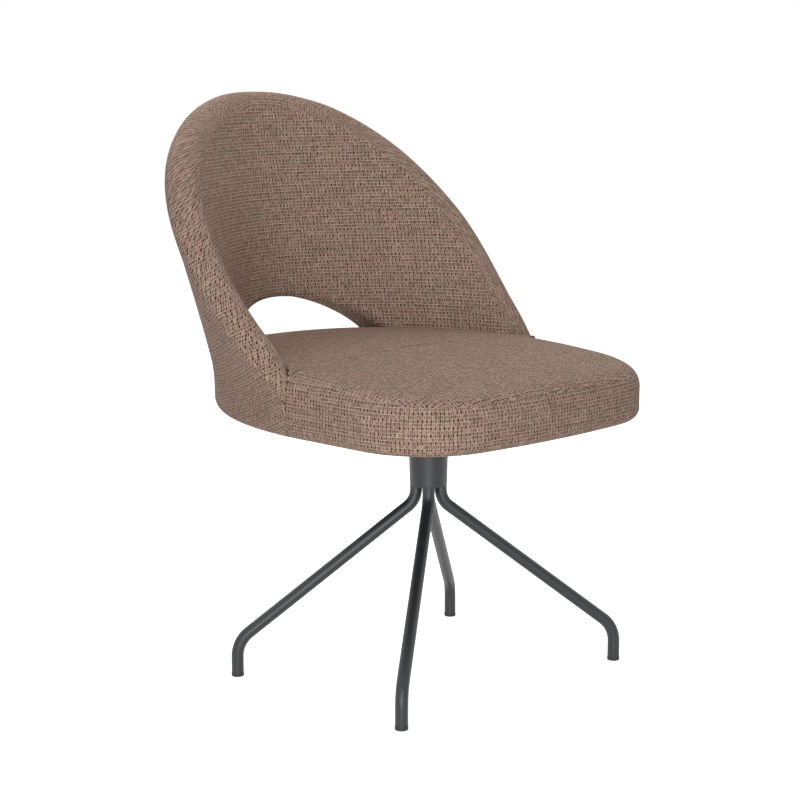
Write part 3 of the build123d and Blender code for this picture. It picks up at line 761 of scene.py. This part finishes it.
# x and z on the arch: upright below its spring (turn < 0, in mm), an ellipse above.
def archPoint(turn, growth):
    b = backForm
    rise = b["archTop"] - b["archSpring"] + growth
    half = b["archHalfWidth"] + growth
    x = half * np.cos(np.maximum(turn, 0))
    z = b["archSpring"] + np.where(turn < 0, turn, rise * np.sin(np.maximum(turn, 0)))
    return x, z


# Angle and height where the wall, a depth under a face, meets the arch: by iteration.
def meetArch(turn, growth, side, depth):
    x, z = archPoint(turn, growth)
    angle = np.degrees(np.arcsin(np.clip(x / cushionForm["halfWidth"], 0, 0.99)))
    height = z + 0 * angle
    for _ in range(40):
        across = side * (halfThick(angle) - depth)
        tilt = np.arctan(leanSlope(angle, height))
        height = z + across * np.sin(tilt)
        out = leanOut(angle, height) - halfThick(angle) + across * np.cos(tilt)
        nx = wallNormal(angle)[0]
        sine = np.clip((x - nx * out) / cushionForm["halfWidth"], 0, 0.999)
        angle = angle + 0.7 * (np.degrees(np.arcsin(sine)) - angle)
    return angle, height


# Near the wings' front ends the rolled rim rises to the cushion's own rounded edge.
def raised(points, out, angle, z):
    f = cushionForm
    r = f["upperRounding"]
    depth = -out
    near = np.clip(r - depth, 0, r)
    edge = crownHeight(points[..., 0], points[..., 1]) - (r - np.sqrt(r * r - near ** 2))
    edge = edge + np.minimum(depth, 0) * backPiece["raiseFall"]
    lifted = smoothMax(z, edge - backPiece["raiseSoft"], backPiece["raiseSoft"])
    share = np.clip((np.abs(angle) - backPiece["raiseFrom"]) / backPiece["raiseOver"], 0, 1)
    return z + (lifted - z) * share


# Stations of half the back, from the seat's side of a wing up its end, over its tip and
# along the rim to the middle: each has a turn round the arch, an angle and height at the
# rim, and a share of the roll.
def backStations():
    p = backPiece
    low, spring = cushionForm["bottom"], backForm["archSpring"]
    rim = float(rimHeight(np.array(wingEnd * 1.0)))
    rise = rim - p["endDrop"] - low
    foot = p["footHeight"]
    ends = np.concatenate([np.linspace(0, 1, 8) ** 2 * foot, np.linspace(foot, rise, 12)[1:]])
    tips = np.linspace(0, 1, p["tipStations"])[1:]
    share = np.linspace(0, 1, p["rimStations"])
    lead = p["tipTurn"]
    turn = [-(spring - low) * (1 - ends / rise), tips * lead, lead + (math.pi / 2 - lead) * share]
    last = wingEnd - math.degrees(p["endRounding"] / cushionForm["rear"])
    along = last * (1 - share)
    height = [low + ends, rim - p["endDrop"] * (1 - tips), rimHeight(along)]
    atEnd = len(ends) + len(tips)
    return {
        "turn": np.concatenate(turn),
        "angle": np.concatenate([np.full(atEnd, last), along]),
        "height": np.concatenate(height),
        "rolled": np.concatenate([np.zeros(len(ends)), tips, np.ones(len(share))]),
        "atEnd": np.arange(atEnd + len(share)) < atEnd,
    }


# How far a point is below the start of the outer face's lower rounding.
def underRounding(height):
    r = backPiece["outerRounding"]
    return np.clip(r - (height - cushionForm["bottom"]), 0, r)


# One face of the wall, straight in angle and height from the arch's rounded edge to the rim.
def wallFace(at, side):
    p, r = backPiece, backForm["archRounding"]
    parts = []
    for bend in np.linspace(0, math.pi / 2, p["roundRows"]):
        growth, depth = r - r * math.cos(bend), r - r * math.sin(bend)
        edge = meetArch(at["turn"], growth, side, depth)
        parts.append(edge + (np.full(len(at["turn"]), depth),))
    angle, height = parts[-1][:2]
    for share in np.linspace(0, 1, p["faceRows"])[1:]:
        parts.append((angle + (at["angle"] - angle) * share,
                      height + (at["height"] - height) * share, np.zeros(len(angle))))
    angle, height, depth = (np.stack([part[k] for part in parts], 1) for k in range(3))
    if side > 0:
        r = p["outerRounding"]
        across = halfThick(angle) - (depth + r - np.sqrt(r ** 2 - underRounding(height) ** 2))
    else:
        across = innerAcross(angle, height) + depth
    points, _ = wallPoint(angle, height, across)
    points[..., 2] = np.maximum(points[..., 2], cushionForm["bottom"])
    return {"points": points, "angle": angle, "height": height, "across": across}


# The roll over the rim, a half circle from face to face that lies flat at the wing's end.
def rimRoll(at, outer, inner):
    p = backPiece
    bend = np.linspace(0, math.pi, p["acrossRows"] + 2)[1:-1]
    angle = np.where(at["atEnd"], wingEnd, at["angle"])[:, None] + 0 * bend
    height = at["height"][:, None] + 0 * bend
    rounding = np.where(at["atEnd"], p["endRounding"], 0)[:, None]
    high, low = outer["across"][:, -1:] - rounding, inner["across"][:, -1:] + rounding
    radius = (high - low) / 2
    across = (high + low) / 2 + radius * np.cos(bend)
    flat, _ = wallPoint(angle, height, across)
    top, out = wallPoint(angle, height, across, radius * np.sin(bend))
    top[..., 2] = raised(top, out, angle, top[..., 2])
    points = flat + (top - flat) * at["rolled"][:, None, None]
    points[..., 2] = np.maximum(points[..., 2], cushionForm["bottom"])
    return {"points": points, "bend": bend, "angle": angle, "radius": radius}


# Cloth outside: straight rows that rise to the front and are level at the rear, then over
# the roll, by arc length square to a level rim, and round a steep one at one height, where
# the rows keep their slope.
def outerCloth(at, outer, roll):
    p, r = backPiece, backPiece["outerRounding"]
    under = underRounding(outer["height"])
    extra = under - r * np.arcsin(under / r)
    run = faceLength(outer["angle"], outer["height"], 1)
    behind = faceLength(wingEnd + 0 * run, outer["height"], 1) - run
    reached = np.clip(behind, 0, p["levelAt"])
    fall = p["tilt"] * (reached - reached ** 2 / 2 / p["levelAt"])
    face = np.stack([-run, outer["height"] + extra + fall], -1)

    climb = np.abs(np.gradient(at["height"]))
    slopeRun = np.abs(np.gradient(faceLength(at["angle"], at["height"], 1))) + 1e-6
    steep = np.where(at["atEnd"], p["endSteep"], np.arctan2(climb, slopeRun))[:, None]
    w = fade(np.degrees(steep) - p["steepFrom"], p["steepTo"] - p["steepFrom"])
    bend, radius = np.concatenate([roll["bend"], [math.pi]]), roll["radius"]
    s = radius * bend
    lean = np.arctan(leanSlope(roll["angle"][:, :1], at["height"][:, None]))
    lift = radius * np.sin(bend) * np.cos(lean) + radius * (1 - np.cos(bend)) * np.sin(lean)
    back = np.maximum(lift, 0) / np.maximum(np.tan(steep), 0.25)
    slope = p["tilt"] * (1 - reached[:, -1:] / p["levelAt"])
    around = np.interp(behind[:, -1:], p["rollAt"], p["rollTilt"])
    girth = p["rollGirth"] * s
    overU = -w * (girth - back) - (1 - w) * s * np.sin(steep)
    overV = w * (lift + slope * back - around * girth)
    overV = overV + (1 - w) * s * (np.cos(steep) - slope * np.sin(steep))
    return np.concatenate([face, face[:, -1:] + np.stack([overU, overV], -1)], 1)


# Cloth inside and round the edge of the arch, in the loop's order.
def innerCloth(at, outer, inner, acrossShare):
    face = np.stack([faceLength(inner["angle"], inner["height"], -1), inner["points"][..., 2]], -1)
    turn = np.clip(at["turn"], 0, math.pi / 2)[:, None]
    wide = np.linalg.norm(outer["points"][:, :1] - inner["points"][:, :1], axis=-1)
    reach = wide * np.concatenate([acrossShare, [1.0]])
    edge = face[:, :1] - np.stack([reach * np.cos(turn), reach * np.sin(turn)], -1)
    unused = np.zeros((len(turn), outer["points"].shape[1] - 1 + len(acrossShare), 2))
    return np.concatenate([edge[:, -1:], unused, face[:, ::-1], edge[:, :-1]], 1)


# How firmly the filling is held: over the roll, round the arch, at the wings' ends, beneath
# and beside the seat.
def backHeld(loops, outer, inner, acrossShare):
    p, f = backPiece, cushionForm
    faceColumns = outer["points"].shape[1]
    inward = np.concatenate([np.zeros(faceColumns), acrossShare,
                             np.ones(faceColumns), acrossShare[::-1]])
    crest = loops[:, faceColumns + len(acrossShare) // 2][:, None]
    fromRoll = np.linalg.norm(loops - crest, axis=-1) - p["rollHeld"]
    fromArch = np.minimum(np.linalg.norm(loops - outer["points"][:, :1], axis=-1),
                          np.linalg.norm(loops - inner["points"][:, :1], axis=-1))
    level = f["bottom"] + 3 + (f["crown"] + 4 - f["bottom"]) * inward
    endY = f["rear"] * math.cos(math.radians(wingEnd))
    free = fade(fromArch - 2, p["archFade"]) * fade(fromRoll, p["rollFade"])
    free = free * fade(loops[..., 1] - endY - 4, p["seatFade"])
    return 1 - free * fade(loops[..., 2] - level, p["seatFade"])


# Half the back as stations by loops of points, with both cloths and the filling's hold.
#
# Each loop runs up the outer face from the arch, over the rim, down the inner face and back
# across the arch's edge.
def backSurface():
    at = backStations()
    outer, inner = wallFace(at, 1), wallFace(at, -1)
    roll = rimRoll(at, outer, inner)
    acrossShare = (1 - np.cos(roll["bend"])) / 2
    first, last = inner["points"][:, :1], outer["points"][:, :1]
    arch = first + (last - first) * acrossShare[None, :, None]
    loops = np.concatenate([outer["points"], roll["points"], inner["points"][:, ::-1], arch], 1)
    inside = innerCloth(at, outer, inner, acrossShare)
    outside = outerCloth(at, outer, roll)
    outside = np.concatenate([outside, inside[:, outside.shape[1]:]], 1)
    return loops, inside, outside, backHeld(loops, outer, inner, acrossShare)


# Closing patches of the two cut ends, each between its loop's outer and inner columns.
def endPatches(whole, faceRows, acrossRows):
    share = ((1 - np.cos(np.linspace(0, math.pi, acrossRows + 2))) / 2)[None, :, None]
    patches = []
    for station in (0, len(whole) - 1):
        side = whole[station]
        outer = side[:faceRows]
        inner = side[faceRows + acrossRows:2 * faceRows + acrossRows][::-1]
        patch = outer[:, None] + (inner - outer)[:, None] * share
        patch[-1, 1:-1] = side[faceRows:faceRows + acrossRows]
        patch[0, 1:-1] = side[2 * faceRows + acrossRows:][::-1]
        patches.append(patch.reshape(-1, 3))
    return patches


def makeBack():
    p = backPiece
    loops, inside, outside, held = backSurface()
    faceRows = p["roundRows"] + p["faceRows"] - 1
    mirror = np.array([-1, 1, 1])
    whole = np.concatenate([loops, loops[-2::-1] * mirror])
    inside = np.concatenate([inside, inside[-2::-1] * mirror[:2]])
    outside = np.concatenate([outside, outside[-2::-1] * mirror[:2]])
    held = np.concatenate([held, held[-2::-1]]).T.ravel()
    count = len(whole)
    points = whole.transpose(1, 0, 2).reshape(-1, 3)
    faces = gridFaces(loops.shape[1], count, True)
    onOuter = faces[:, 0] // count < faceRows + p["acrossRows"]
    inner = inside.transpose(1, 0, 2).reshape(-1, 2)[faces]
    outer = outside.transpose(1, 0, 2).reshape(-1, 2)[faces]
    uvs = np.where(onOuter[:, None, None], outer, inner)
    for patchPoints in endPatches(whole, faceRows, p["acrossRows"]):
        patchFaces = gridFaces(faceRows, p["acrossRows"] + 2, False) + len(points)
        points = np.concatenate([points, patchPoints])
        faces = np.concatenate([faces, patchFaces])
        uvs = np.concatenate([uvs, points[patchFaces][..., :2]])
    held = np.concatenate([held, np.ones(len(points) - len(held))])
    return newPiece("backUpholstery", points, faces, uvs, held)


seat = makeSeat()
back = makeBack()
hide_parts("seat_foam", "seat_top_cover", "seat_band_cover")
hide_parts("back_foam", "back_inner_cover", "back_outer_cover")
for piece, slotName in ((seat, "seat_weave"), (back, "back_weave")):
    piece.data.materials.append(cloth)
    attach(piece, "seat")
    fillCushion(piece, filling)
    soften(piece)
print("upholstery", len(seat.data.polygons), len(back.data.polygons))

# Floor, backdrop and light

studio = {
    "floorSize": 12.0,
    "skyShare": 0.12,          # of white light from all round; the lamps give the rest
    "shadowDepth": 0.16,       # how much of the floor's white comes from the lamps
    "shadowReach": (0.5, 1.3),   # it fades out between these distances from the middle
}


# White floor: its own white, less the share that the lamps give back where no shadow falls.
def addStudio(look):
    floor = bpy.data.meshes.new("floor")
    half = look["floorSize"] / 2
    floor.from_pydata([(-half, -half, 0), (half, -half, 0), (half, half, 0), (-half, half, 0)],
                      [], [(0, 1, 2, 3)])
    floorObject = bpy.data.objects.new("floor", floor)
    bpy.context.scene.collection.objects.link(floorObject)
    material = newMaterial("paleFloor")
    path = addNode(material, "ShaderNodeLightPath").outputs
    seen = mathNode(material, "MAXIMUM", path["Is Camera Ray"], path["Is Glossy Ray"])
    place = addNode(material, "ShaderNodeTexCoord").outputs["Object"]
    away = addNode(material, "ShaderNodeVectorMath", {"operation": "LENGTH"}, {0: place})
    near = addNode(material, "ShaderNodeMapRange", {"interpolation_type": "SMOOTHSTEP"},
                   {"Value": away.outputs["Value"]},
                   {"From Min": look["shadowReach"][0], "From Max": look["shadowReach"][1],
                    "To Min": 1 - look["shadowDepth"], "To Max": 1.0}).outputs[0]
    matt = addNode(material, "ShaderNodeBsdfDiffuse", values={"Color": linear("#e8e8e8")})
    glow = addNode(material, "ShaderNodeEmission", values={"Color": (1, 1, 1, 1)},
                   links={"Strength": mathNode(material, "MULTIPLY", seen, near)})
    both = addNode(material, "ShaderNodeAddShader", links={0: matt.outputs[0], 1: glow.outputs[0]})
    addNode(material, "ShaderNodeOutputMaterial", links={"Surface": both.outputs[0]})
    floor.materials.append(material)

    world = bpy.data.worlds.new("studioWorld")
    bpy.context.scene.world = world
    world.use_nodes = True
    nodes = world.node_tree.nodes
    path = nodes.new("ShaderNodeLightPath")
    seen = nodes.new("ShaderNodeMath")
    seen.operation = "MAXIMUM"
    level = nodes.new("ShaderNodeMapRange")
    level.inputs["To Min"].default_value = look["skyShare"]
    link = world.node_tree.links.new
    link(path.outputs["Is Camera Ray"], seen.inputs[0])
    link(path.outputs["Is Glossy Ray"], seen.inputs[1])
    link(seen.outputs[0], level.inputs["Value"])
    nodes["Background"].inputs["Color"].default_value = (1, 1, 1, 1)
    link(level.outputs[0], nodes["Background"].inputs["Strength"])


addStudio(studio)

lamps = [
    {"name": "frontLamp", "place": (-1.9, -1.9, 0.5), "size": 1.4, "watts": 53},
    {"name": "backLamp", "place": (0.3, 1.9, 2.2), "size": 1.6, "watts": 38},
    {"name": "topLamp", "place": (0.0, -0.3, 2.6), "size": 1.6, "watts": 20},
    {"name": "rightLamp", "place": (2.4, -0.2, 1.5), "size": 1.6, "watts": 11},
    {"name": "leftLamp", "place": (-2.4, 0.3, 1.5), "size": 1.6, "watts": 5},
]


# A square soft box that faces the middle of the seat.
def addLamp(settings):
    data = bpy.data.lights.new(settings["name"], "AREA")
    data.shape = "SQUARE"
    data.size = settings["size"]
    data.energy = settings["watts"]
    lamp = bpy.data.objects.new(settings["name"], data)
    aim = Vector((0, axisY, 0.45)) - Vector(settings["place"])
    lamp.rotation_euler = aim.to_track_quat("-Z", "Y").to_euler()
    lamp.location = settings["place"]
    bpy.context.scene.collection.objects.link(lamp)


for settings in lamps:
    addLamp(settings)

bpy.context.scene.view_settings.view_transform = "Standard"
print("studio set")
